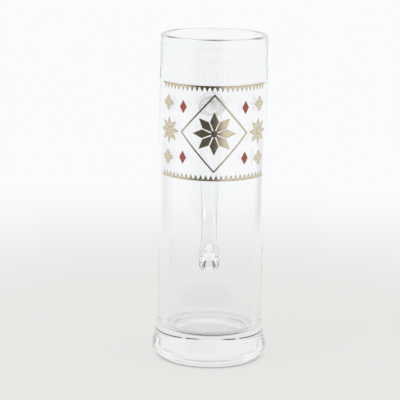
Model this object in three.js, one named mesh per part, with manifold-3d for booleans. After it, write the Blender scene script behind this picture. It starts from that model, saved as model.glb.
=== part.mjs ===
import * as THREE from 'three';
import { mergeVertices } from 'three/addons/utils/BufferGeometryUtils.js';
import Module from 'manifold-3d';

// A tall clear beer glass with a solid glass handle and a fired print, in millimetres, +Z up.
// The bowl is one turned form: a thick foot, a near-straight tube and a rounded lip.
// The handle is a second piece of glass, an ear-shaped bar set on the wall at two spread roots.
// The print is gold with red accents, each island of it a thin film on the outside of the tube.

const wasm = await Module();
wasm.setup();

// Bowl, outside
const glass_height = 200;
const tube_radius = 32.4;
const tube_swell = 0.25;
const swell_below_lip = 55;
const swell_pitch = 170;

// Foot and underside
const foot_flare = 2.8;
const foot_radius = tube_radius + foot_flare;
const foot_edge_round = 5.2;
const foot_band_top = 6.8;
const shoulder_height = 13;
const shoulder_inset = 1.1;
const shoulder_softness = 2.6;
const flare_top = 38;
const flare_start_inset = 0.9;
const flare_start_rise = 4;
const flare_end_drop = 12;
const stand_width = 6;
const recess_depth = 4.5;
const recess_round = 2.4;

// Bowl, inside
const floor_thickness = 17.6;
const floor_corner = 5;
const wall_at_floor = 4.95;
const cavity_taper = 1.25;
const lip_wall = 2.8;
const lip_thinning_length = 60;

// Handle
const finger_room = 34.4;
const upper_arm_below_lip = 49.2;
const elbow_below_upper_arm = 28.8;
const lower_root_above_flare = 16.4;
const strap_width = 17.6;
const lower_arm_width = 12.2;
const narrowing_below_elbow = 4;
const narrowing_above_root = 14;
const upper_arm_thickness = 10.4;
const strap_thickness = 9.2;
const lower_arm_thickness = 8.7;
const lower_arm_slope = 0.31;
const section_squareness = 2.3;
const upper_root_spread = 0.5;
const upper_root_rise = 1.2;
const lower_root_spread = 1.4;
const lower_root_rise = 6.5;
const root_fade = 5;
const root_gap = 0.3;
const root_sink = 6;

const handle_reach = tube_radius + finger_room + strap_thickness;
const upper_root_height = glass_height - upper_arm_below_lip;
const elbow_height = upper_root_height - elbow_below_upper_arm;
const lower_root_height = flare_top + lower_root_above_flare;

// The spine's curves, as shares of the arm's length and of the rise and drop at the elbow
const straight_arm_share = 0.46;
const bend_inset_share = 0.12;
const bend_crown_share = 0.02;
const elbow_fullness = 0.62;
const lower_curve_share = 0.61;

// Print
const print_below_lip = 55.5;
const print_middle = glass_height - print_below_lip;
const print_half_arc = 38;
const print_gap = 0.1;
const print_thickness = 0.15;
const rule_width = 1.0;
const tooth_pitch = 3.04;
const tooth_width = 2.2;
const tooth_height = 2.6;
const frame_half_arc = 21;
const frame_half_height = 23.6;
const rule_beyond_frame = 4.8;
const print_half_height = frame_half_height + rule_beyond_frame;
const frame_stroke = 0.9;
const centre_rosette_radius = 13;
const side_rosette_radius = 8;
const side_rosette_arc = 30.6;
const petal_count = 8;
const petal_gap = 0.7;
const petal_shoulder_share = 0.56;
const hub_radius = 2;
const red_lozenge_arc = 19.4;
const red_lozenge_height = 15.2;
const red_lozenge_half_width = 2.4;
const red_lozenge_half_height = 4;
const leaf_arc = 31.6;
const leaf_height = 16.4;
const leaf_radius = 4.6;
const leaf_count = 4;

// Fineness of the faceted surfaces
const turned_segments = 64;
const tube_steps = 10;
const handle_rings = 46;
const handle_sides = 20;
const outline_step = 2.4;

const clear_glass = new THREE.MeshStandardMaterial({
  color: '#e8eceb',
  roughness: 0.05,
  metalness: 0,
  transparent: true,
  opacity: 0.35,
});
const fired_gold = new THREE.MeshStandardMaterial({ color: '#d8b56a', roughness: 0.25, metalness: 1 });
const red_enamel = new THREE.MeshStandardMaterial({ color: '#b4402f', roughness: 0.35, metalness: 0 });

// Closed meshes become solids for the cuts and joins, and come back as geometry.

function toSolid(geometry) {
  geometry.deleteAttribute('normal');
  geometry.deleteAttribute('uv');
  const merged = mergeVertices(geometry, 1e-5);
  const corners = merged.index.array;
  const kept = [];
  for (let i = 0; i < corners.length; i += 3) {
    const [a, b, c] = [corners[i], corners[i + 1], corners[i + 2]];
    // Triangles that shrank to a line at the turning axis are left out.
    if (a !== b && b !== c && c !== a) {
      kept.push(a, b, c);
    }
  }
  return new wasm.Manifold(
    new wasm.Mesh({
      numProp: 3,
      vertProperties: merged.attributes.position.array,
      triVerts: new Uint32Array(kept),
    }),
  );
}

function toGeometry(solid) {
  const mesh = solid.getMesh();
  const geometry = new THREE.BufferGeometry();
  geometry.setAttribute('position', new THREE.BufferAttribute(mesh.vertProperties, 3));
  geometry.setIndex(new THREE.BufferAttribute(mesh.triVerts, 1));
  geometry.computeVertexNormals();
  return geometry;
}

// A profile of radius and height turned about the upright axis.
function turned(profile) {
  const lathe = new THREE.LatheGeometry(profile, turned_segments);
  lathe.rotateX(Math.PI / 2);
  return toSolid(lathe);
}

// The tube's outside swells very slightly behind the print, as drawn glass does.
function tubeRadius(height) {
  const from_swell = height - (glass_height - swell_below_lip);
  return tube_radius + tube_swell * Math.cos((2 * Math.PI * from_swell) / swell_pitch);
}

// The cavity widens steadily, and faster near the lip, where the wall thins.
function cavityRadius(height) {
  const cavity_radius = tube_radius - wall_at_floor;
  const straight = cavity_radius + (cavity_taper * height) / glass_height;
  const end = cavity_radius + cavity_taper;
  const thinned = tubeRadius(glass_height) - lip_wall - end;
  const thinning = Math.max(0, 1 - (glass_height - height) / lip_thinning_length);
  return straight + thinned * thinning ** 3;
}

// Bowl

function addOutside(path) {
  const stand_radius = foot_radius - foot_edge_round;
  const shoulder_radius = foot_radius - shoulder_inset;
  path.lineTo(stand_radius, 0);
  path.absarc(stand_radius, foot_edge_round, foot_edge_round, -Math.PI / 2, 0, false);
  path.lineTo(foot_radius, foot_band_top);
  path.quadraticCurveTo(
    foot_radius, shoulder_height - shoulder_softness,
    shoulder_radius, shoulder_height,
  );
  path.bezierCurveTo(
    shoulder_radius - flare_start_inset, shoulder_height + flare_start_rise,
    tubeRadius(flare_top), flare_top - flare_end_drop,
    tubeRadius(flare_top), flare_top,
  );
}

function bowlProfile() {
  const stand_radius = foot_radius - foot_edge_round;
  const recess_radius = stand_radius - stand_width;
  const lip_round = lip_wall / 2;
  const lip_height = glass_height - lip_round;
  const outside = new THREE.Path();
  outside.moveTo(0, recess_depth);
  outside.lineTo(recess_radius - recess_round, recess_depth);
  outside.quadraticCurveTo(recess_radius - recess_round / 3, recess_depth, recess_radius, 0);
  addOutside(outside);
  const points = outside.getPoints(4);
  for (let i = 1; i < tube_steps; i += 1) {
    const height = flare_top + ((lip_height - flare_top) * i) / tube_steps;
    points.push(new THREE.Vector2(tubeRadius(height), height));
  }
  const lip_middle = tubeRadius(lip_height) - lip_round;
  const lip = new THREE.Path();
  lip.absarc(lip_middle, lip_height, lip_round, 0, Math.PI, false);
  points.push(...lip.getPoints(4));
  const corner_height = floor_thickness + floor_corner;
  for (let i = tube_steps; i > 0; i -= 1) {
    const height = corner_height + ((lip_height - corner_height) * i) / tube_steps;
    if (i < tube_steps) {
      points.push(new THREE.Vector2(cavityRadius(height), height));
    }
  }
  const corner = new THREE.Path();
  const corner_radius = cavityRadius(corner_height);
  corner.absarc(corner_radius - floor_corner, corner_height, floor_corner, 0, -Math.PI / 2, true);
  points.push(...corner.getPoints(3));
  points.push(new THREE.Vector2(0, floor_thickness));
  return points;
}

// Handle: a bar carried along a spine of one straight and two curves, in the plane X = 0.

function handleSpine() {
  const start = tubeRadius(upper_root_height) - root_sink;
  const end = tubeRadius(lower_root_height) - root_sink;
  const outer = handle_reach - strap_thickness / 2;
  const point = (reach, height) => new THREE.Vector3(0, reach, height);
  const bend_start = start + (outer - start) * straight_arm_share;
  const rise = upper_root_height - elbow_height;
  const drop = elbow_height - lower_root_height;
  const arm = outer - end;
  const spine = new THREE.CurvePath();
  spine.add(new THREE.LineCurve3(point(start, upper_root_height), point(bend_start, upper_root_height)));
  spine.add(
    new THREE.CubicBezierCurve3(
      point(bend_start, upper_root_height),
      point(outer - arm * bend_inset_share, upper_root_height + rise * bend_crown_share),
      point(outer, elbow_height + rise * elbow_fullness),
      point(outer, elbow_height),
    ),
  );
  const end_height = lower_root_height - root_sink * lower_arm_slope;
  const lower_bend = arm * lower_curve_share;
  spine.add(
    new THREE.CubicBezierCurve3(
      point(outer, elbow_height),
      point(outer, elbow_height - drop * elbow_fullness),
      point(end + lower_bend, end_height + lower_bend * lower_arm_slope),
      point(end, end_height),
    ),
  );
  return spine;
}

function smoothStep(low, high, value) {
  const t = Math.min(1, Math.max(0, (value - low) / (high - low)));
  return t * t * (3 - 2 * t);
}

// Half width and half thickness of the bar at a height, and their swelling close to the wall.
function handleSection(place) {
  const narrowing_start = elbow_height - narrowing_below_elbow;
  const narrowing_end = lower_root_height + narrowing_above_root;
  const narrowing = smoothStep(narrowing_start, narrowing_end, place.z);
  const half_width = THREE.MathUtils.lerp(strap_width, lower_arm_width, narrowing) / 2;
  const arm = smoothStep(elbow_height, upper_root_height, place.z);
  const low = smoothStep(elbow_height, lower_root_height, place.z);
  const plain = strap_thickness
    + (upper_arm_thickness - strap_thickness) * arm
    + (lower_arm_thickness - strap_thickness) * low;
  const upper = place.z > elbow_height;
  const wall = tubeRadius(place.z);
  const near = Math.exp(-Math.max(0, place.y - wall) / root_fade);
  return {
    half_width: half_width + near * (upper ? upper_root_spread : lower_root_spread),
    half_thickness: plain / 2 + near * (upper ? upper_root_rise : lower_root_rise),
  };
}

function handleBar() {
  const spine = handleSpine();
  const positions = [];
  const triangles = [];
  for (let ring = 0; ring < handle_rings; ring += 1) {
    const even = ring / (handle_rings - 1);
    // Rings lie closer together near both roots.
    const along = even - (0.7 * Math.sin(2 * Math.PI * even)) / (2 * Math.PI);
    const place = spine.getPoint(along);
    const tangent = spine.getTangent(along);
    const { half_width, half_thickness } = handleSection(place);
    for (let side = 0; side < handle_sides; side += 1) {
      const angle = (2 * Math.PI * side) / handle_sides;
      const power = 2 / section_squareness;
      const across = half_width * Math.sign(Math.cos(angle)) * Math.abs(Math.cos(angle)) ** power;
      const out = half_thickness * Math.sign(Math.sin(angle)) * Math.abs(Math.sin(angle)) ** power;
      positions.push(across, place.y - out * tangent.z, place.z + out * tangent.y);
    }
  }
  const last = (handle_rings - 1) * handle_sides;
  for (let ring = 0; ring < handle_rings - 1; ring += 1) {
    for (let side = 0; side < handle_sides; side += 1) {
      const a = ring * handle_sides + side;
      const b = ring * handle_sides + ((side + 1) % handle_sides);
      triangles.push(a, a + handle_sides, b, b, a + handle_sides, b + handle_sides);
    }
  }
  for (let side = 1; side < handle_sides - 1; side += 1) {
    triangles.push(0, side, side + 1);
    triangles.push(last, last + side + 1, last + side);
  }
  const bar = new THREE.BufferGeometry();
  bar.setAttribute('position', new THREE.Float32BufferAttribute(positions, 3));
  bar.setIndex(triangles);
  return toSolid(bar);
}

// The bowl's outside as one full form, a clearance larger all round, cuts the roots to fit the wall.
function wallClearance() {
  const low = lower_root_height - lower_root_rise - strap_thickness * 2;
  const high = upper_root_height + upper_root_rise + strap_thickness * 2;
  const profile = [new THREE.Vector2(0, low)];
  const steps = 12;
  for (let i = 0; i <= steps; i += 1) {
    const height = low + ((high - low) * i) / steps;
    profile.push(new THREE.Vector2(tubeRadius(height) + root_gap, height));
  }
  profile.push(new THREE.Vector2(0, high));
  return turned(profile);
}

// Print: outlines in arc length and height are wrapped on the tube and cut from a thin ring.

function printRing() {
  const low = print_middle - print_half_height - tooth_height;
  const high = print_middle + print_half_height + tooth_height;
  const steps = 4;
  const inner = [];
  const outer = [];
  for (let i = 0; i <= steps; i += 1) {
    const height = low + ((high - low) * i) / steps;
    inner.push(new THREE.Vector2(tubeRadius(height) + print_gap, height));
    outer.push(new THREE.Vector2(tubeRadius(height) + print_gap + print_thickness, height));
  }
  return turned([...outer, ...inner.reverse(), outer[0].clone()]);
}

function wrapped(outline) {
  const radius = tube_radius + print_gap;
  const points = [];
  outline.forEach((from, i) => {
    const to = outline[(i + 1) % outline.length];
    const level = Math.abs(to.y - from.y) < 1e-6;
    const steps = level ? 1 : Math.ceil(from.distanceTo(to) / outline_step);
    for (let k = 0; k < steps; k += 1) {
      const at = from.clone().lerp(to, k / steps);
      points.push(new THREE.Vector2(radius * Math.sin(at.x / radius), print_middle + at.y));
    }
  });
  return points;
}

// A straight prism through the front of the tube, of the wrapped outline and its holes.
function printPrism(outline, holes = []) {
  const shape = new THREE.Shape(wrapped(outline));
  shape.holes = holes.map((hole) => new THREE.Path(wrapped(hole)));
  const depth = tube_radius + 5;
  const prism = new THREE.ExtrudeGeometry(shape, { depth, bevelEnabled: false });
  prism.rotateX(Math.PI / 2);
  return toSolid(prism);
}

function lozenge(arc, height, half_arc, half_height) {
  return [
    new THREE.Vector2(arc - half_arc, height),
    new THREE.Vector2(arc, height - half_height),
    new THREE.Vector2(arc + half_arc, height),
    new THREE.Vector2(arc, height + half_height),
  ];
}

// A level rule with a row of teeth that point towards the middle of the print.
function toothedRule(side) {
  const base = side * print_half_height;
  const edge = base - side * rule_width;
  const tip = edge - side * tooth_height;
  const outline = [new THREE.Vector2(print_half_arc, base), new THREE.Vector2(-print_half_arc, base)];
  const count = Math.floor((2 * print_half_arc) / tooth_pitch);
  const first = -((count - 1) * tooth_pitch) / 2;
  outline.push(new THREE.Vector2(-print_half_arc, edge));
  for (let i = 0; i < count; i += 1) {
    const arc = first + i * tooth_pitch;
    outline.push(new THREE.Vector2(arc - tooth_width / 2, edge));
    outline.push(new THREE.Vector2(arc, tip));
    outline.push(new THREE.Vector2(arc + tooth_width / 2, edge));
  }
  outline.push(new THREE.Vector2(print_half_arc, edge));
  return printPrism(side > 0 ? outline : outline.reverse());
}

// Kite-shaped petals that meet in a small hub, a set gap apart, as one outline.
function rosette(arc, height, radius, petals) {
  const half_angle = Math.PI / petals;
  const shoulder = radius * petal_shoulder_share;
  const half_width = shoulder * Math.tan(half_angle) - petal_gap / 2 / Math.cos(half_angle);
  const foot_out = hub_radius * Math.cos(half_angle / 2);
  const foot_across = hub_radius * Math.sin(half_angle / 2);
  const centre = new THREE.Vector2(arc, height);
  const outline = [];
  for (let i = 0; i < petals; i += 1) {
    const turn = (2 * Math.PI * i) / petals;
    const petal = [
      new THREE.Vector2(foot_out, -foot_across),
      new THREE.Vector2(shoulder, -half_width),
      new THREE.Vector2(radius, 0),
      new THREE.Vector2(shoulder, half_width),
      new THREE.Vector2(foot_out, foot_across),
    ];
    outline.push(...petal.map((point) => point.rotateAround(new THREE.Vector2(), turn).add(centre)));
  }
  return printPrism(outline);
}

function lozengeFrame() {
  const slant = Math.hypot(frame_half_arc, frame_half_height);
  const inner_arc = frame_half_arc - (frame_stroke * slant) / frame_half_height;
  const inner_height = frame_half_height - (frame_stroke * slant) / frame_half_arc;
  const outer = lozenge(0, 0, frame_half_arc, frame_half_height);
  return printPrism(outer, [lozenge(0, 0, inner_arc, inner_height)]);
}

// Assembly

const glass = new THREE.Group();

function addPiece(name, solid, material) {
  const mesh = new THREE.Mesh(toGeometry(solid), material);
  mesh.name = name;
  glass.add(mesh);
}

addPiece('glass_body', turned(bowlProfile()), clear_glass);
addPiece('handle', handleBar().subtract(wallClearance()), clear_glass);

const ring = printRing();

function addPrint(name, prism, material) {
  addPiece(name, ring.intersect(prism), material);
}

addPrint('rule_upper', toothedRule(1), fired_gold);
addPrint('rule_lower', toothedRule(-1), fired_gold);
addPrint('frame_lozenge', lozengeFrame(), fired_gold);
addPrint('rosette_centre', rosette(0, 0, centre_rosette_radius, petal_count), fired_gold);
for (const [hand, way] of [['left', -1], ['right', 1]]) {
  const rosette_arc = way * side_rosette_arc;
  addPrint(`rosette_${hand}`, rosette(rosette_arc, 0, side_rosette_radius, petal_count), fired_gold);
  for (const [level, up] of [['upper', 1], ['lower', -1]]) {
    const leaves = rosette(way * leaf_arc, up * leaf_height, leaf_radius, leaf_count);
    addPrint(`leaves_${level}_${hand}`, leaves, fired_gold);
    const mark = lozenge(
      way * red_lozenge_arc,
      up * red_lozenge_height,
      red_lozenge_half_width,
      red_lozenge_half_height,
    );
    addPrint(`red_lozenge_${level}_${hand}`, printPrism(mark), red_enamel);
  }
}

// The origin is the middle of the whole piece's footprint, so the tube stands off it by half the
// difference between the handle's reach and the foot's radius.
glass.position.y = -(handle_reach - foot_radius) / 2;

const beer_glass = new THREE.Group();
beer_glass.add(glass);
beer_glass.updateMatrixWorld(true);

export default beer_glass;
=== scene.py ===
import bmesh
import bpy
import numpy as np
from mathutils import Matrix, Vector
from mathutils.geometry import tessellate_polygon


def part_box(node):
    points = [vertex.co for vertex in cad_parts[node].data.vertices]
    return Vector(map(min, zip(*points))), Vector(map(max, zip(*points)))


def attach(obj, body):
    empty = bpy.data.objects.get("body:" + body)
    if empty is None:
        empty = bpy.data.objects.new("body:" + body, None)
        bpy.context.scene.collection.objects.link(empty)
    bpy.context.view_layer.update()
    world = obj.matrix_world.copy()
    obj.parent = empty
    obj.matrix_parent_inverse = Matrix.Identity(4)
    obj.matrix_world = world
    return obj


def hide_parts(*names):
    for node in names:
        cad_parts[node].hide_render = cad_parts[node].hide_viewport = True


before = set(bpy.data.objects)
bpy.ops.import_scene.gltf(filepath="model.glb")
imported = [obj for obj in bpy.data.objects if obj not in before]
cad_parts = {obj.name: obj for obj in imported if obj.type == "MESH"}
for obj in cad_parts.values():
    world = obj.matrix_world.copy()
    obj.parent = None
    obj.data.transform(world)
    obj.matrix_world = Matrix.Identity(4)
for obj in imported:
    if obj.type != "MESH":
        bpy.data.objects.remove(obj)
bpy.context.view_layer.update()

mm = 0.001

# The bowl is one turned piece of clear glass: a solid foot with a soft shoulder, a near-straight
# drawn tube and a fire-polished lip. It stands on a ring round a shallow recess in the underside.

bowl_low, bowl_high = (Vector(corner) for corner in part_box("glass_body"))
axis_y = (bowl_low.y + bowl_high.y) / 2
bowl_height = bowl_high.z
foot_radius = 35.2 * mm

tube_radius = 32.4 * mm
tube_swell = 0.25 * mm
swell_height = 145 * mm
swell_pitch = 170 * mm
flare_top = 38 * mm
lip_wall = 2.8 * mm
floor_thickness = 17.6 * mm


def tube_outside(height):
    """The tube's outer radius: its mean radius and a slow cosine swell along the height."""
    return tube_radius + tube_swell * np.cos(2 * np.pi * (height - swell_height) / swell_pitch)


def tube_inside(height):
    """The cavity's radius: a steady taper, and near the lip a cubic widening that thins the wall."""
    bottom, taper, thinning_start = 27.45 * mm, 1.25 * mm, 140 * mm
    lip_radius = tube_outside(bowl_height) - lip_wall
    thinning = np.maximum(0, (height - thinning_start) / (bowl_height - thinning_start))
    return bottom + taper * height / bowl_height + (lip_radius - bottom - taper) * thinning ** 3


def bezier(corners, steps):
    """Points of a straight, quadratic or cubic curve: each corner weighted by its Bernstein polynomial
    in t, by blending neighbours (1 - t) to t until one is left."""
    t = np.linspace(0, 1, steps + 1)[:, None]
    corners = np.array(corners, float)
    while len(corners.shape) < 3:
        corners = np.repeat(corners[:, None], steps + 1, axis=1)
    while len(corners) > 1:
        corners = corners[:-1] * (1 - t) + corners[1:] * t
    return corners[0]


def arc(radius, height, round_radius, start, end, steps):
    """Points on a circle about (radius, height), from the start angle to the end angle in degrees."""
    angle = np.radians(np.linspace(start, end, steps + 1))
    return np.stack([radius + round_radius * np.cos(angle), height + round_radius * np.sin(angle)], axis=1)


def eased(start, end, steps):
    """Values from start to end that crowd at both ends by a half cosine, so a long face never meets a
    rounding and the shading stays true."""
    return start + (end - start) * (1 - np.cos(np.linspace(0, np.pi, steps + 1))) / 2


def bowl_profile():
    """Radius and height along the outline: underside, foot, outside, lip, inside and floor."""
    edge_round, stand_width, recess_depth, recess_round = 5.2 * mm, 6.0 * mm, 4.5 * mm, 2.4 * mm
    band_top, shoulder_height, shoulder_radius = 6.8 * mm, 13 * mm, 34.1 * mm
    floor_corner = 5 * mm
    stand_radius = foot_radius - edge_round
    recess_radius = stand_radius - stand_width
    lip_round = lip_wall / 2
    lip_height = bowl_height - lip_round
    corner_height = floor_thickness + floor_corner
    hub = 0.1 * mm
    up = eased(flare_top, lip_height, steps=90)
    down = eased(lip_height, corner_height, steps=90)
    # The flat faces and the straight band take few rows, which keeps the bowl under 200,000 triangles.
    underside = eased(hub, recess_radius - recess_round, steps=12)
    stand = eased(recess_radius, stand_radius, steps=10)
    band = eased(edge_round, band_top, steps=8)
    floor = eased(tube_inside(corner_height) - floor_corner, hub, steps=12)
    parts = [
        np.stack([underside, np.full(len(underside), recess_depth)], axis=1),
        bezier([
            (recess_radius - recess_round, recess_depth),
            (recess_radius - recess_round / 3, recess_depth),
            (recess_radius, 0),
        ], steps=16),
        np.stack([stand, np.zeros(len(stand))], axis=1),
        arc(stand_radius, edge_round, edge_round, start=-90, end=0, steps=20),
        np.stack([np.full(len(band), foot_radius), band], axis=1),
        bezier([
            (foot_radius, band_top),
            (foot_radius, shoulder_height - 2.6 * mm),
            (shoulder_radius, shoulder_height),
        ], steps=20),
        bezier([
            (shoulder_radius, shoulder_height),
            (shoulder_radius - 0.9 * mm, shoulder_height + 4 * mm),
            (tube_outside(flare_top), flare_top - 12 * mm),
            (tube_outside(flare_top), flare_top),
        ], steps=60),
        np.stack([tube_outside(up), up], axis=1),
        arc(tube_outside(lip_height) - lip_round, lip_height, lip_round, start=0, end=180, steps=32),
        np.stack([tube_inside(down), down], axis=1),
        arc(
            tube_inside(corner_height) - floor_corner,
            corner_height,
            floor_corner,
            start=0,
            end=-90,
            steps=16,
        ),
        np.stack([floor, np.full(len(floor), floor_thickness)], axis=1),
    ]
    outline = np.concatenate(parts)
    step = np.linalg.norm(np.diff(outline, axis=0), axis=1)
    return outline[np.concatenate([[True], step > 0.004 * mm])]


def closed_tube(name, rings, start, end):
    """A mesh of rings of points joined in order, each end closed by a fan to its own middle point."""
    rows, around = rings.shape[:2]
    points = np.concatenate([rings.reshape(-1, 3), [start, end]])
    row = np.arange(rows - 1)[:, None] * around
    here = np.arange(around)[None]
    there = (here + 1) % around
    quads = np.stack([row + here, row + there, row + around + there, row + around + here], axis=-1)
    first, last = rows * around, rows * around + 1
    top = (rows - 1) * around
    start_fan = np.stack([there[0], here[0], np.full(around, first)], axis=-1)
    end_fan = np.stack([top + here[0], top + there[0], np.full(around, last)], axis=-1)
    faces = quads.reshape(-1, 4).tolist() + start_fan.tolist() + end_fan.tolist()
    mesh = bpy.data.meshes.new(name)
    mesh.from_pydata(points.tolist(), [], faces)
    mesh.polygons.foreach_set("use_smooth", np.ones(len(faces), bool))
    piece = bpy.data.objects.new(name, mesh)
    bpy.context.scene.collection.objects.link(piece)
    return piece


def clear_glass_material():
    """Clear soda-lime glass: bends light at 1.52, with very faint drawn streaks along the height."""
    material = bpy.data.materials.new("clear_glass")
    material.use_nodes = True
    nodes, links = material.node_tree.nodes, material.node_tree.links
    shader = nodes["Principled BSDF"]
    shader.inputs["Base Color"].default_value = (0.988, 0.991, 0.993, 1)
    shader.inputs["Roughness"].default_value = 0.0
    shader.inputs["IOR"].default_value = 1.52
    shader.inputs["Transmission Weight"].default_value = 1.0
    place = nodes.new("ShaderNodeTexCoord")
    stretch = nodes.new("ShaderNodeMapping")
    stretch.inputs["Scale"].default_value = (150, 150, 6)
    streaks = nodes.new("ShaderNodeTexNoise")
    streaks.inputs["Scale"].default_value = 1.0
    streaks.inputs["Detail"].default_value = 1.0
    bump = nodes.new("ShaderNodeBump")
    bump.inputs["Strength"].default_value = 1.0
    bump.inputs["Distance"].default_value = 0.00003
    links.new(place.outputs["Object"], stretch.inputs["Vector"])
    links.new(stretch.outputs["Vector"], streaks.inputs["Vector"])
    links.new(streaks.outputs["Fac"], bump.inputs["Height"])
    links.new(bump.outputs["Normal"], shader.inputs["Normal"])
    return material


clear_glass = clear_glass_material()
bowl_outline = bowl_profile()
turn = 2 * np.pi * np.arange(256) / 256
bowl_rings = np.stack(
    [
        bowl_outline[:, :1] * np.cos(turn),
        axis_y + bowl_outline[:, :1] * np.sin(turn),
        np.repeat(bowl_outline[:, 1:], len(turn), axis=1),
    ],
    axis=-1,
)
bowl = closed_tube("bowl", bowl_rings, (0, axis_y, bowl_outline[0, 1]), (0, axis_y, bowl_outline[-1, 1]))
bowl.data.materials.append(clear_glass)
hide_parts("glass_body")
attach(bowl, "root")

# The handle is a solid bar of the same glass, bent to an ear shape for four fingers. It is set on
# the hot wall, where both of its ends spread into soft roots that run into the wall.

handle_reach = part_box("handle")[1][1] - axis_y
upper_root_height = 150.8 * mm
lower_root_height = 54.4 * mm
elbow_height = 122 * mm
strap_thickness = 9.2 * mm
lower_arm_slope = 0.31
root_sink = 0.8 * mm


def handle_spine(samples):
    """Reach and height along the bar's middle line: a straight arm, a bend and a long lower curve."""
    sink = 6 * mm
    start = tube_outside(upper_root_height) - sink
    end = tube_outside(lower_root_height) - sink
    outer = handle_reach - strap_thickness / 2
    bend_start = start + (outer - start) * 0.46
    rise = upper_root_height - elbow_height
    drop = elbow_height - lower_root_height
    arm = outer - end
    end_height = lower_root_height - sink * lower_arm_slope
    curves = [
        bezier([(start, upper_root_height), (bend_start, upper_root_height)], steps=200),
        bezier([
            (bend_start, upper_root_height),
            (outer - arm * 0.12, upper_root_height + rise * 0.02),
            (outer, elbow_height + rise * 0.62),
            (outer, elbow_height),
        ], steps=400),
        bezier([
            (outer, elbow_height),
            (outer, elbow_height - drop * 0.62),
            (end + arm * 0.61, end_height + arm * 0.61 * lower_arm_slope),
            (end, end_height),
        ], steps=800),
    ]
    dense = np.concatenate([curves[0], curves[1][1:], curves[2][1:]])
    length = np.concatenate([[0], np.cumsum(np.linalg.norm(np.diff(dense, axis=0), axis=1))])
    even = np.linspace(0, length[-1], samples)
    return np.stack([np.interp(even, length, dense[:, 0]), np.interp(even, length, dense[:, 1])], axis=1)


def smooth_step(low, high, value):
    """Zero below low, one above high, and a cubic ease between them."""
    t = np.clip((value - low) / (high - low), 0, 1)
    return t * t * (3 - 2 * t)


def handle_section(reach, height):
    """Half width and half thickness of the bar, swelling as exp(-distance / fade) near the wall."""
    strap_width, lower_arm_width = 17.6 * mm, 12.2 * mm
    upper_arm_thickness, lower_arm_thickness = 10.4 * mm, 8.7 * mm
    upper_root_wider, upper_root_thicker = 0.5 * mm, 1.2 * mm
    lower_root_wider, lower_root_thicker = 1.4 * mm, 6.5 * mm
    fade = 5.0 * mm
    narrowing = smooth_step(elbow_height - 4 * mm, lower_root_height + 14 * mm, height)
    arm = smooth_step(elbow_height, upper_root_height, height)
    low = smooth_step(elbow_height, lower_root_height, height)
    upper = height > elbow_height
    near = np.exp(-np.maximum(0, reach - tube_outside(height)) / fade)
    width = strap_width + (lower_arm_width - strap_width) * narrowing
    thickness = (
        strap_thickness
        + (upper_arm_thickness - strap_thickness) * arm
        + (lower_arm_thickness - strap_thickness) * low
    )
    half_width = width / 2 + near * np.where(upper, upper_root_wider, lower_root_wider)
    half_thickness = thickness / 2 + near * np.where(upper, upper_root_thicker, lower_root_thicker)
    return half_width, half_thickness


def handle_rings(rings, around):
    """The bar's surface: a superellipse section carried square to the spine, each of its lines cut
    where it meets the cylinder that lies root_sink inside the wall. The rings crowd at both roots,
    at shares t - c sin(2 pi t) / (2 pi) of the line."""
    squareness, crowding = 2.3, 0.75
    spine = handle_spine(900)
    tangent = np.gradient(spine, axis=0)
    tangent /= np.linalg.norm(tangent, axis=1)[:, None]
    half_width, half_thickness = handle_section(spine[:, 0], spine[:, 1])
    angle = -2 * np.pi * np.arange(around) / around
    power = 2 / squareness
    across = np.sign(np.cos(angle)) * np.abs(np.cos(angle)) ** power * half_width[:, None]
    out = np.sign(np.sin(angle)) * np.abs(np.sin(angle)) ** power * half_thickness[:, None]
    reach = spine[:, :1] - out * tangent[:, 1:]
    height = spine[:, 1:] + out * tangent[:, :1]
    outside = np.hypot(across, reach) - (tube_outside(height) - root_sink)
    middle = len(spine) // 2
    even = np.linspace(0, 1, rings)
    share = even - crowding * np.sin(2 * np.pi * even) / (2 * np.pi)
    lines = []
    index = np.arange(len(spine))
    for j in range(around):
        first = np.interp(0, outside[:middle, j], index[:middle])
        last = np.interp(0, -outside[middle:, j], index[middle:])
        at = first + (last - first) * share
        lines.append([np.interp(at, index, part[:, j]) for part in (across, reach, height)])
    return np.moveaxis(np.array(lines), (0, 1, 2), (1, 2, 0))


def root_cap(ring, rows):
    """Rings that close a root on the sunk cylinder: the edge drawn in evenly to its middle, each
    point set back on the cylinder."""
    middle = ring[:, [0, 2]].mean(axis=0)
    share = np.linspace(1, 0, rows + 1)[1:, None, None]
    flat = middle + (ring[:, [0, 2]] - middle) * share
    reach = np.sqrt((tube_outside(flat[..., 1]) - root_sink) ** 2 - flat[..., 0] ** 2)
    return np.stack([flat[..., 0], reach, flat[..., 1]], axis=-1)


bar = handle_rings(rings=220, around=72)
start_cap = root_cap(bar[0], rows=8)
end_cap = root_cap(bar[-1], rows=8)
bar = np.concatenate([start_cap[-2::-1], bar, end_cap[:-1]])
bar[..., 1] += axis_y
handle_ends = [cap[-1, 0] + np.array([0, axis_y, 0]) for cap in (start_cap, end_cap)]
handle = closed_tube("handle_bar", bar, *handle_ends)
handle.data.materials.append(clear_glass)
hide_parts("handle")
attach(handle, "root")

# The print is gold and red enamel fired on the outside of the tube in one thin film: two toothed
# rules, a lozenge frame, rosettes, four-leaf figures and small red lozenges, all of plain geometry.
# Each film has a darker fired edge in front and a matt back that shows through the glass.

print_middle = 144.5 * mm
print_half_height = 28.4 * mm
print_half_arc = 38 * mm
film_gap = 0.03 * mm
film_thickness = 0.06 * mm


def drawn_in(loop, width):
    """The loop moved to its left by the width: a corner between unit normals a and b moves by
    width (a + b) / (1 + a . b)."""
    points = np.array(loop)
    ahead = np.roll(points, -1, axis=0) - points
    ahead /= np.linalg.norm(ahead, axis=1)[:, None]
    left = np.stack([-ahead[:, 1], ahead[:, 0]], axis=1)
    before = np.roll(left, 1, axis=0)
    return points + width * (before + left) / (1 + np.sum(before * left, axis=1))[:, None]


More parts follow.
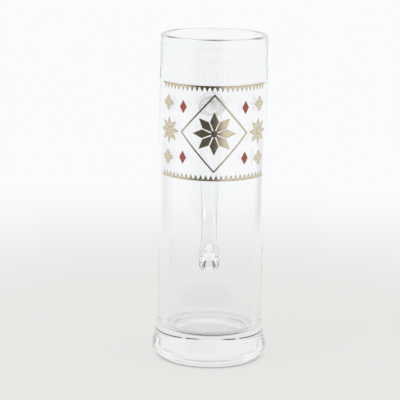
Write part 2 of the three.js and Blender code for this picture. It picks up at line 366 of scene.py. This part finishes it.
def film(name, node, loops, border_width, materials, slot):
    """A thin closed film: the flat outline of arc and height is filled, with a border strip of the
    second material and a back of the third, cut into upright strips and wrapped on the tube at
    x = r sin(arc / r), y = -r cos(arc / r)."""
    flat = bmesh.new()
    inner_corners = []
    inner_loops = []
    for loop in loops:
        inside = drawn_in(loop, border_width)
        outer = [flat.verts.new((x, y, 0)) for x, y in loop]
        inner = [flat.verts.new((x, y, 0)) for x, y in inside]
        for k in range(len(outer)):
            ahead = (k + 1) % len(outer)
            flat.faces.new([outer[k], outer[ahead], inner[ahead], inner[k]]).material_index = 1
        inner_corners += inner
        inner_loops.append([Vector((x / mm, y / mm, 0)) for x, y in inside])
    for triangle in tessellate_polygon(inner_loops):
        flat.faces.new([inner_corners[i] for i in triangle])
    bmesh.ops.recalc_face_normals(flat, faces=flat.faces)
    strip = 0.8 * mm
    left = min(x for x, y in loops[0])
    right = max(x for x, y in loops[0])
    for k in range(int(np.floor(left / strip)) + 1, int(np.ceil(right / strip))):
        everything = flat.verts[:] + flat.edges[:] + flat.faces[:]
        cut = (k * strip, 0, 0)
        bmesh.ops.bisect_plane(flat, geom=everything, plane_co=cut, plane_no=(1, 0, 0), dist=1e-7)
    bmesh.ops.remove_doubles(flat, verts=flat.verts, dist=1e-6)
    flat.verts.index_update()
    points = np.array([vert.co[:2] for vert in flat.verts])
    faces = [[vert.index for vert in face.verts] for face in flat.faces]
    turned = [face.normal.z < 0 for face in flat.faces]
    faces = [face[::-1] if back else face for face, back in zip(faces, turned)]
    slots = [face.material_index for face in flat.faces]
    border = {}
    for face in faces:
        for a, b in zip(face, face[1:] + face[:1]):
            border[(a, b)] = border.get((b, a)) is None
            if not border[(a, b)]:
                border[(b, a)] = False
    flat.free()
    count = len(points)
    layers = []
    for lift in (film_gap, film_gap + film_thickness):
        radius = tube_outside(points[:, 1] + print_middle) + lift
        angle = points[:, 0] / tube_radius
        layers.append(np.stack(
            [radius * np.sin(angle), axis_y - radius * np.cos(angle), points[:, 1] + print_middle], axis=1
        ))
    front = [[i + count for i in face] for face in faces]
    back = [face[::-1] for face in faces]
    sides = [[a, b, b + count, a + count] for (a, b), open_edge in border.items() if open_edge]
    mesh = bpy.data.meshes.new(name)
    mesh.from_pydata(np.concatenate(layers).tolist(), [], front + back + sides)
    smooth = np.zeros(len(mesh.polygons), bool)
    smooth[: 2 * len(faces)] = True
    mesh.polygons.foreach_set("use_smooth", smooth)
    mesh.polygons.foreach_set("material_index", slots + [2] * len(back) + [1] * len(sides))
    rim = {frozenset(pair) for side in sides for pair in ((side[0], side[1]), (side[2], side[3]))}
    mesh.edges.foreach_set("use_edge_sharp", [frozenset(edge.vertices) in rim for edge in mesh.edges])
    piece = bpy.data.objects.new(name, mesh)
    bpy.context.scene.collection.objects.link(piece)
    for material in materials:
        mesh.materials.append(material)
    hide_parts(node)
    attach(piece, "root")
    return piece


def fired_material(name, colour, metallic, roughness):
    """A fired film: its colour and gloss vary a little with a fine noise, as the brushed-on lustre does."""
    material = bpy.data.materials.new(name)
    material.use_nodes = True
    nodes, links = material.node_tree.nodes, material.node_tree.links
    shader = nodes["Principled BSDF"]
    shader.inputs["Metallic"].default_value = metallic
    place = nodes.new("ShaderNodeTexCoord")
    mottle = nodes.new("ShaderNodeTexNoise")
    mottle.inputs["Scale"].default_value = 900.0
    mottle.inputs["Detail"].default_value = 3.0
    tint = nodes.new("ShaderNodeMix")
    tint.data_type = "RGBA"
    tint.inputs["A"].default_value = (*[0.8 * value for value in colour], 1)
    tint.inputs["B"].default_value = (*colour, 1)
    gloss = nodes.new("ShaderNodeMapRange")
    gloss.inputs["To Min"].default_value = roughness - 0.06
    gloss.inputs["To Max"].default_value = roughness + 0.1
    bump = nodes.new("ShaderNodeBump")
    bump.inputs["Strength"].default_value = 0.5
    bump.inputs["Distance"].default_value = 0.00005
    links.new(place.outputs["Object"], mottle.inputs["Vector"])
    links.new(mottle.outputs["Fac"], tint.inputs["Factor"])
    links.new(mottle.outputs["Fac"], gloss.inputs["Value"])
    links.new(mottle.outputs["Fac"], bump.inputs["Height"])
    links.new(tint.outputs["Result"], shader.inputs["Base Color"])
    links.new(gloss.outputs["Result"], shader.inputs["Roughness"])
    links.new(bump.outputs["Normal"], shader.inputs["Normal"])
    return material


fired_gold = fired_material("fired_gold", (0.86, 0.75, 0.53), 1.0, 0.2)
gold_border = fired_material("gold_border", (0.36, 0.26, 0.12), 1.0, 0.3)
red_enamel = fired_material("red_enamel", (0.4, 0.075, 0.055), 0.0, 0.3)
red_border = fired_material("red_border", (0.22, 0.05, 0.04), 0.0, 0.3)
gold_back = fired_material("gold_back", (0.5, 0.39, 0.2), 0.0, 0.6)
red_back = fired_material("red_back", (0.3, 0.05, 0.04), 0.0, 0.6)


def lozenge(arc_at, height_at, half_arc, half_height):
    """The four corners of an upright lozenge."""
    return [
        (arc_at - half_arc, height_at),
        (arc_at, height_at - half_height),
        (arc_at + half_arc, height_at),
        (arc_at, height_at + half_height),
    ]


def toothed_rule(side):
    """The outline of a level rule with a row of teeth that point to the middle of the print."""
    rule_width, pitch, width, tall = 1.0 * mm, 3.04 * mm, 2.2 * mm, 2.6 * mm
    base = side * print_half_height
    edge = base - side * rule_width
    count = int(2 * print_half_arc / pitch)
    middles = (np.arange(count) - (count - 1) / 2) * pitch
    teeth = [
        (middle + shift * width / 2, edge - side * tall * (shift == 0))
        for middle in middles
        for shift in (-1, 0, 1)
    ]
    outer = [(print_half_arc, base), (-print_half_arc, base)]
    return [*outer, (-print_half_arc, edge), *teeth, (print_half_arc, edge)][::side]


def rosette(arc_at, height_at, radius, petals):
    """The outline of kite-shaped petals that meet in a small hub, a set gap apart."""
    hub, gap = 2 * mm, 0.7 * mm
    half = np.pi / petals
    shoulder = 0.56 * radius
    half_width = shoulder * np.tan(half) - gap / 2 / np.cos(half)
    petal = np.array([
        (hub * np.cos(half / 2), -hub * np.sin(half / 2)),
        (shoulder, -half_width),
        (radius, 0),
        (shoulder, half_width),
        (hub * np.cos(half / 2), hub * np.sin(half / 2)),
    ])
    angle = 2 * np.pi * np.arange(petals)[:, None] / petals
    x = arc_at + petal[:, 0] * np.cos(angle) - petal[:, 1] * np.sin(angle)
    y = height_at + petal[:, 0] * np.sin(angle) + petal[:, 1] * np.cos(angle)
    return np.stack([x.ravel(), y.ravel()], axis=1).tolist()


rosette_petals, rosette_radius = 8, 13 * mm
side_rosette_arc, side_rosette_radius = 30.6 * mm, 8 * mm
leaves_arc, leaves_height, leaves_radius = 31.6 * mm, 16.4 * mm, 4.6 * mm
lozenge_arc, lozenge_height = 19.4 * mm, 15.2 * mm
lozenge_half_arc, lozenge_half_height = 2.4 * mm, 4 * mm
frame_arc, frame_height, frame_stroke = 21 * mm, 23.6 * mm, 0.9 * mm
frame_slant = np.hypot(frame_arc, frame_height)
frame_hole = lozenge(
    0,
    0,
    frame_arc - frame_stroke * frame_slant / frame_height,
    frame_height - frame_stroke * frame_slant / frame_arc,
)
frame_loops = [lozenge(0, 0, frame_arc, frame_height), frame_hole[::-1]]
gold = ((fired_gold, gold_border, gold_back), "fired_gold")
red = ((red_enamel, red_border, red_back), "red_enamel")
border = 0.25 * mm
film("upper_rule", "rule_upper", [toothed_rule(1)], border, *gold)
film("lower_rule", "rule_lower", [toothed_rule(-1)], border, *gold)
film("lozenge_frame", "frame_lozenge", frame_loops, border, *gold)
centre = rosette(0, 0, rosette_radius, rosette_petals)
film("centre_rosette", "rosette_centre", [centre], border, *gold)
for hand, way in (("left", -1), ("right", 1)):
    aside = rosette(way * side_rosette_arc, 0, side_rosette_radius, rosette_petals)
    film(f"{hand}_rosette", f"rosette_{hand}", [aside], border, *gold)
    for level, up in (("upper", 1), ("lower", -1)):
        leaves = rosette(way * leaves_arc, up * leaves_height, leaves_radius, 4)
        film(f"{level}_{hand}_leaves", f"leaves_{level}_{hand}", [leaves], border, *gold)
        small = lozenge(way * lozenge_arc, up * lozenge_height, lozenge_half_arc, lozenge_half_height)
        film(f"{level}_{hand}_red_lozenge", f"red_lozenge_{level}_{hand}", [small], border, *red)

# The camera stands about a metre in front of the glass and a little above its rim, turned slightly
# to the handle's side and rolled by a degree, as in the photograph.

camera_distance = 955.5 * mm
camera_height = 309.7 * mm
camera_bearing = np.radians(1.6)
camera_pan, camera_tilt, camera_roll = np.radians((-1.179, 90 - 12.527, 1.013))
camera_lens = 143.3
camera_data = bpy.data.cameras.new("camera")
camera_data.lens = camera_lens
camera = bpy.data.objects.new("camera", camera_data)
bpy.context.scene.collection.objects.link(camera)
camera_turn = (
    Matrix.Rotation(camera_pan, 4, "Z")
    @ Matrix.Rotation(camera_tilt, 4, "X")
    @ Matrix.Rotation(camera_roll, 4, "Z")
)
camera_place = Matrix.Translation((
    -camera_distance * np.sin(camera_bearing),
    axis_y - camera_distance * np.cos(camera_bearing),
    camera_height,
))
camera.matrix_world = camera_place @ camera_turn
bpy.context.scene.camera = camera

# The floor is a round sheet of pale paper, warm grey near the glass and white at its edge, where it
# runs into a white background. The paper glows, and its small matt part keeps the shadow; painted
# shade dims the glow under and behind the glass and, seen through the glass, toward two far corners.

floor_radius = 0.62
floor_set_back = 0.24


def floor_mesh():
    """A flat disc: rings of points at growing radii round a middle set back from the bowl's axis."""
    first, second, steps, around = 0.02, 0.04, 30, 96
    radii = np.concatenate([[first], np.linspace(second, floor_radius, steps)])
    rows = len(radii)
    turn = 2 * np.pi * np.arange(around) / around
    middle = axis_y + floor_set_back
    rings = np.stack(
        [radii[:, None] * np.cos(turn), middle + radii[:, None] * np.sin(turn), np.zeros((rows, around))],
        axis=-1,
    )
    points = np.concatenate([rings.reshape(-1, 3), [(0, middle, 0)]])
    row = np.arange(rows - 1)[:, None] * around
    here = np.arange(around)[None]
    there = (here + 1) % around
    quads = np.stack([row + here, row + around + here, row + around + there, row + there], axis=-1)
    fan = np.stack([here[0], there[0], np.full(around, rows * around)], axis=-1)
    mesh = bpy.data.meshes.new("floor")
    mesh.from_pydata(points.tolist(), [], fan.tolist() + quads.reshape(-1, 4).tolist())
    return mesh


def level_ramp(owner, value, stops):
    """A level in the owner's node tree that follows the stops, each a value and a level, with
    straight runs between them."""
    low, high = stops[0][0], stops[-1][0]
    tree = owner.node_tree
    share = tree.nodes.new("ShaderNodeMapRange")
    share.inputs["From Min"].default_value = low
    share.inputs["From Max"].default_value = high
    ramp = tree.nodes.new("ShaderNodeValToRGB")
    elements = ramp.color_ramp.elements
    while len(elements) < len(stops):
        elements.new(0.5)
    for element, (at, level) in zip(elements, stops):
        element.position = (at - low) / (high - low)
        element.color = (level, level, level, 1)
    tree.links.new(value, share.inputs["Value"])
    tree.links.new(share.outputs["Result"], ramp.inputs["Fac"])
    return ramp.outputs["Color"]


def maths(owner, operation, first, second=0.0):
    """One arithmetic node in the owner's node tree, fed by numbers or by other nodes' outputs."""
    node = owner.node_tree.nodes.new("ShaderNodeMath")
    node.operation = operation
    for socket, value in zip(node.inputs, (first, second)):
        if isinstance(value, (int, float)):
            socket.default_value = value
        else:
            owner.node_tree.links.new(value, socket)
    return node.outputs["Value"]


def band(owner, value, middle, half, soft):
    """One inside a band about middle and zero outside it, eased over soft at both edges."""
    tree = owner.node_tree
    ease = tree.nodes.new("ShaderNodeMapRange")
    ease.interpolation_type = "SMOOTHSTEP"
    ease.inputs["From Min"].default_value = half + soft
    ease.inputs["From Max"].default_value = half
    tree.links.new(maths(owner, "ABSOLUTE", maths(owner, "SUBTRACT", value, middle)), ease.inputs["Value"])
    return ease.outputs["Result"]


floor = bpy.data.objects.new("floor", floor_mesh())
bpy.context.scene.collection.objects.link(floor)
paper = bpy.data.materials.new("paper")
paper.use_nodes = True
paper_nodes, paper_links = paper.node_tree.nodes, paper.node_tree.links
paper_nodes.remove(paper_nodes["Principled BSDF"])
paper_place = paper_nodes.new("ShaderNodeTexCoord")
paper_centre = paper_nodes.new("ShaderNodeVectorMath")
paper_centre.operation = "DISTANCE"
paper_centre.inputs[1].default_value = (0, axis_y, 0)
paper_fade = paper_nodes.new("ShaderNodeMapRange")
paper_fade.interpolation_type = "SMOOTHSTEP"
paper_fade.inputs["From Min"].default_value = 0.16
paper_fade.inputs["From Max"].default_value = 0.52
paper_tint = paper_nodes.new("ShaderNodeMix")
paper_tint.data_type = "RGBA"
paper_tint.inputs["A"].default_value = (0.803, 0.799, 0.783, 1)
paper_tint.inputs["B"].default_value = (0.955, 0.965, 0.975, 1)
paper_matt = paper_nodes.new("ShaderNodeBsdfDiffuse")
paper_glow = paper_nodes.new("ShaderNodeEmission")
paper_mix = paper_nodes.new("ShaderNodeMixShader")
paper_parts = paper_nodes.new("ShaderNodeSeparateXYZ")
paper_links.new(paper_place.outputs["Object"], paper_parts.inputs["Vector"])
paper_back = maths(paper, "SUBTRACT", paper_parts.outputs["Y"], axis_y)
# Under the glass the glow gives way to matt paper, so the real shadow there shows; how far it gives way is
# a painted shade, strongest under its front half.
paper_away = paper_centre.outputs["Value"]
paper_shade = level_ramp(paper, paper_back, [
    (-0.04, 0.85), (-0.016, 0.75), (-0.006, 0.4), (0.006, 0.2), (0.03, 0.16),
])
paper_under = level_ramp(paper, paper_away, [(0, 1.0), (0.031, 1.0), (0.0352, 0.0), (0.1, 0.0)])
paper_glowing = level_ramp(paper, paper_away, [(0, 0.9), (0.28, 0.9), (0.5, 1.0), (1.0, 1.0)])
paper_share = maths(paper, "SUBTRACT", paper_glowing, maths(paper, "MULTIPLY", paper_shade, paper_under))
# Seen through the glass, the paper carries a painted shade toward its two far corners. The bearing
# is in degrees round from straight back, positive to the right.
paper_bearing = maths(paper, "DEGREES", maths(paper, "ARCTAN2", paper_parts.outputs["X"], paper_back))
paper_left = maths(paper, "MULTIPLY", band(paper, paper_bearing, -42.0, 10.0, 20.0), 0.14)
paper_right = maths(paper, "MULTIPLY", band(paper, paper_bearing, 42.0, 6.0, 12.0), 0.24)
paper_corner_shade = maths(paper, "ADD", paper_left, paper_right)
paper_far = level_ramp(paper, paper_away, [(0.3, 0.0), (0.42, 1.0), (0.6, 1.0), (0.85, 0.0)])
paper_rays = paper_nodes.new("ShaderNodeLightPath")
paper_bent = maths(paper, "MULTIPLY", paper_far, paper_rays.outputs["Is Transmission Ray"])
paper_dark = maths(paper, "MULTIPLY", paper_corner_shade, paper_bent)
# A soft painted shadow lies on the paper just behind the foot.
paper_behind = level_ramp(paper, paper_back, [
    (-0.1, 0.0), (0.066, 0.0), (0.08, 0.06), (0.11, 0.05), (0.16, 0.0), (0.3, 0.0),
])
paper_cast = maths(paper, "MULTIPLY", paper_behind, band(paper, paper_parts.outputs["X"], 0.0, 0.02, 0.016))
paper_level = maths(paper, "SUBTRACT", maths(paper, "SUBTRACT", 1.0, paper_dark), paper_cast)
paper_links.new(paper_level, paper_glow.inputs["Strength"])
paper_links.new(paper_place.outputs["Object"], paper_centre.inputs[0])
paper_links.new(paper_away, paper_fade.inputs["Value"])
paper_links.new(paper_fade.outputs["Result"], paper_tint.inputs["Factor"])
paper_links.new(paper_share, paper_mix.inputs["Fac"])
paper_links.new(paper_tint.outputs["Result"], paper_matt.inputs["Color"])
paper_links.new(paper_tint.outputs["Result"], paper_glow.inputs["Color"])
paper_links.new(paper_matt.outputs["BSDF"], paper_mix.inputs[1])
paper_links.new(paper_glow.outputs["Emission"], paper_mix.inputs[2])
paper_links.new(paper_mix.outputs["Shader"], paper_nodes["Material Output"].inputs["Surface"])
floor.data.materials.append(paper)

# The studio is white all round. The glass also shows a dark far horizon and a duller tone above it,
# and the gold mirrors a dark gap in front, where a photographer stands.

world = bpy.data.worlds.new("studio")
world.use_nodes = True
bpy.context.scene.world = world
world_nodes, world_links = world.node_tree.nodes, world.node_tree.links
heading = world_nodes.new("ShaderNodeTexCoord")
heading_parts = world_nodes.new("ShaderNodeSeparateXYZ")
world_links.new(heading.outputs["Generated"], heading_parts.inputs["Vector"])
# Degrees round from the front, positive to the right, and degrees above the level.
towards = maths(world, "MULTIPLY", heading_parts.outputs["Y"], -1.0)
bearing = maths(world, "DEGREES", maths(world, "ARCTAN2", heading_parts.outputs["X"], towards))
slope = maths(world, "DEGREES", maths(world, "ARCSINE", heading_parts.outputs["Z"]))
rays = world_nodes.new("ShaderNodeLightPath")
# The gold mirrors a white room with one dark gap in front, soft at both edges.
mirrored = level_ramp(world, bearing, [
    (-180, 0.95), (-60, 0.85), (-36, 0.06), (6, 0.06), (24, 0.95), (180, 0.95),
])
# Through the glass the horizon is dark for about 75 degrees to both sides of straight behind, with
# a lighter gap at 20 degrees on each side, and it is faint straight behind.
off_back = maths(world, "SUBTRACT", 180.0, maths(world, "ABSOLUTE", bearing))
gap = maths(world, "MULTIPLY", band(world, off_back, 20.0, 1.0, 2.0), 0.75)
faint = maths(world, "MULTIPLY", band(world, off_back, 0.0, 6.0, 5.0), 0.8)
unbroken = maths(world, "SUBTRACT", 1.0, maths(world, "MAXIMUM", gap, faint))
behind = maths(world, "MULTIPLY", band(world, off_back, 0.0, 70.0, 10.0), unbroken)
horizon = maths(world, "MULTIPLY", band(world, slope, 4.8, 5.8, 1.0), 0.97)
bent = maths(world, "SUBTRACT", 0.98, maths(world, "MULTIPLY", horizon, behind))


def world_mix(factor, first, second):
    """One node of the world that blends from the first number or output to the second."""
    node = world_nodes.new("ShaderNodeMix")
    world_links.new(factor, node.inputs["Factor"])
    for name, value in (("A", first), ("B", second)):
        if isinstance(value, float):
            node.inputs[name].default_value = value
        else:
            world_links.new(value, node.inputs[name])
    return node.outputs["Result"]


direct = world_mix(rays.outputs["Is Glossy Ray"], 1.0, mirrored)
brightness = world_mix(rays.outputs["Is Transmission Ray"], direct, bent)
background = world_nodes["Background"]
# Through the glass the white turns duller and warmer between 10 and 28 degrees above the level.
tint = world_nodes.new("ShaderNodeMix")
tint.data_type = "RGBA"
tint.inputs["A"].default_value = (0.955, 0.965, 0.975, 1)
tint.inputs["B"].default_value = (0.887, 0.88, 0.874, 1)
steep = band(world, slope, 19.0, 7.0, 2.0)
duller = maths(world, "MULTIPLY", steep, rays.outputs["Is Transmission Ray"])
world_links.new(duller, tint.inputs["Factor"])
world_links.new(tint.outputs["Result"], background.inputs["Color"])
world_links.new(brightness, background.inputs["Strength"])

# Plain studio lamps: a broad one high on the left and a smaller one on the right. The glass mirrors
# them, but they aren't seen through it.


def lamp(name, place, size, power):
    """A square area lamp that faces the middle of the glass."""
    data = bpy.data.lights.new(name, "AREA")
    data.shape = "SQUARE"
    data.size = size
    data.energy = power
    light = bpy.data.objects.new(name, data)
    bpy.context.scene.collection.objects.link(light)
    light.visible_transmission = False
    aim = Vector((0, axis_y, bowl_height / 2)) - Vector(place)
    light.matrix_world = Matrix.Translation(place) @ aim.to_track_quat("-Z", "Y").to_matrix().to_4x4()


lamp("key_lamp", place=(-0.9, -0.5, 1.1), size=0.5, power=4.0)
lamp("side_lamp", place=(1.1, 0.1, 0.9), size=0.4, power=1.5)

scene = bpy.context.scene
scene.view_settings.view_transform = "Standard"
scene.cycles.max_bounces = 64
scene.cycles.transmission_bounces = 64
scene.cycles.glossy_bounces = 64
scene.cycles.use_denoising = True
